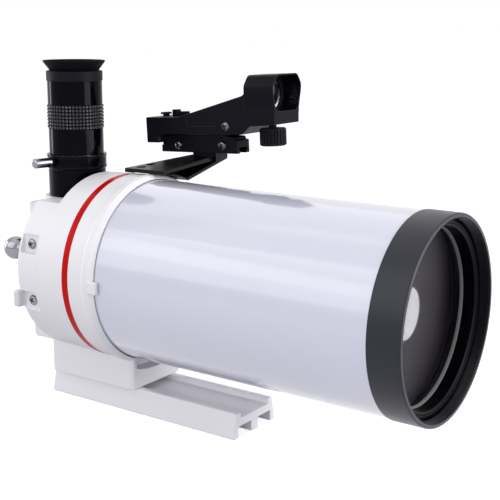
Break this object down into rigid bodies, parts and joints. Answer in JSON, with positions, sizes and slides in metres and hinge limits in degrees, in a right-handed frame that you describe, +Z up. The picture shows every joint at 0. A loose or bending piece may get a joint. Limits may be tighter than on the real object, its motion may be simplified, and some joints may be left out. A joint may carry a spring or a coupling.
{
  "type": "telescope",
  "caption": "Short mirror-lens telescope with a sealed white tube, top eyepiece, flip mirror, offset dot finder and dovetail bar.",
  "frame": {"origin": "middle of the dovetail bar's underside, straight below the front edge of the rear cell", "axes": "+X forward along the optical axis, +Z up towards the eyepiece, +Y to the finder's side"},
  "size_m": [0.2976, 0.131, 0.2191],
  "materials": {
    "tube_white": "gloss",
    "cell_white": "satin",
    "red_paint": "gloss",
    "black_metal": "satin",
    "black_plastic": "satin",
    "grey_plastic": "satin",
    "black_rubber": "matte",
    "bright_steel": "polished",
    "bushing_brass": "satin",
    "cell_aluminium": "satin",
    "coated_glass": "polished",
    "mirror_coat": "polished"
  },
  "bodies": {
    "optical_tube": {"main_tube": "tube_white", "front_ring": "black_metal", "corrector_lens": "coated_glass", "corrector_retainer": "black_metal", "secondary_spot": "mirror_coat", "spot_shade": "black_metal", "rear_cell": "cell_white", "red_band": "red_paint", "flank_screws": "bright_steel", "back_cover": "cell_white", "cover_screws": "bright_steel", "rear_port": "black_metal", "baffle_plate": "black_metal", "baffle_tube": "black_metal", "focus_bushing": "bushing_brass", "eyepiece_holder": "black_metal", "dovetail_bar": "cell_white", "bar_screws": "bright_steel", "finder_bracket": "black_plastic", "bracket_screws": "bright_steel", "finder_clamp": "black_plastic", "clamp_screws": "bright_steel", "tilt_pin": "bright_steel"},
    "focuser": {"focus_shaft": "bright_steel", "focus_knob": "bright_steel"},
    "mirror_carriage": {"mirror_cell": "cell_aluminium", "primary_mirror": "mirror_coat", "mirror_retainer": "black_metal"},
    "flip_mirror_frame": {"flip_frame": "black_metal", "flip_mirror": "mirror_coat"},
    "flip_lever_arm": {"flip_lever": "grey_plastic"},
    "flip_link_bar": {"flip_link": "bright_steel"},
    "rear_cap": {"port_cap": "black_plastic"},
    "eyepiece_clamp": {"thumbscrew": "bright_steel"},
    "eyepiece": {"eyepiece_barrel": "bright_steel", "eyepiece_body": "black_metal", "grip_band": "black_rubber", "cap_ring": "black_rubber", "eyecup": "black_rubber", "eye_lens": "coated_glass", "field_lens": "coated_glass"},
    "finder": {"finder_body": "black_plastic", "finder_glass": "coated_glass", "glass_frame": "black_plastic", "emitter_block": "black_plastic", "body_screws": "bright_steel"},
    "finder_dial": {"finder_knob": "black_plastic"},
    "finder_switch": {"power_button": "black_plastic"}
  },
  "joints": [
    {"name": "focus_turn", "type": "hinge", "parent": "optical_tube", "child": "focuser", "pos_m": [-0.066, -0.044, 0.1017], "axis": [1, 0, 0], "range_deg": [-1800, 1800]},
    {"name": "mirror_slide", "type": "slide", "parent": "optical_tube", "child": "mirror_carriage", "axis": [1, 0, 0], "range_m": [-0.0035, 0.0035]},
    {"name": "flip_lever_turn", "type": "hinge", "parent": "optical_tube", "child": "flip_lever_arm", "pos_m": [-0.083, 0, 0.0675], "axis": [0, -1, 0], "range_deg": [0, 45]},
    {"name": "flip_mirror_turn", "type": "hinge", "parent": "optical_tube", "child": "flip_mirror_frame", "pos_m": [-0.083, 0, 0.1057], "axis": [0, -1, 0], "range_deg": [0, 45]},
    {"name": "flip_link_turn", "type": "hinge", "parent": "flip_lever_arm", "child": "flip_link_bar", "pos_m": [-0.0795, 0, 0.06144], "axis": [0, -1, 0], "range_deg": [-45, 0]},
    {"name": "rear_cap_off", "type": "slide", "parent": "optical_tube", "child": "rear_cap", "axis": [-1, 0, 0], "range_m": [0, 0.04]},
    {"name": "thumbscrew_turn", "type": "hinge", "parent": "optical_tube", "child": "eyepiece_clamp", "pos_m": [-0.0673, 0, 0.155], "axis": [-0.1736, -0.9848, 0], "range_deg": [0, 720]},
    {"name": "eyepiece_lift", "type": "slide", "parent": "optical_tube", "child": "eyepiece", "axis": [0, 0, 1], "range_m": [0, 0.06]},
    {"name": "finder_tilt", "type": "hinge", "parent": "optical_tube", "child": "finder", "pos_m": [-0.03145, 0.0545, 0.16686], "axis": [0, -1, 0], "range_deg": [-1.5, 1.5]},
    {"name": "finder_knob_turn", "type": "hinge", "parent": "finder", "child": "finder_dial", "pos_m": [0.05066, 0.0545, 0.17245], "axis": [-0.0558, 0, 0.9984], "range_deg": [-720, 720]},
    {"name": "power_button_press", "type": "slide", "parent": "finder", "child": "finder_switch", "axis": [0.0558, 0, -0.9984], "range_m": [0, 0.0007], "stiffness_N_per_m": 400, "springref_m": -0.001}
  ],
  "couplings": [
    {"joint": "focus_turn", "follows": "mirror_slide", "rad_per_m": 8975},
    {"joint": "flip_mirror_turn", "follows": "flip_lever_turn", "ratio": 1},
    {"joint": "flip_link_turn", "follows": "flip_lever_turn", "ratio": -1},
    {"joint": "finder_knob_turn", "follows": "finder_tilt", "ratio": 479.9}
  ]
}
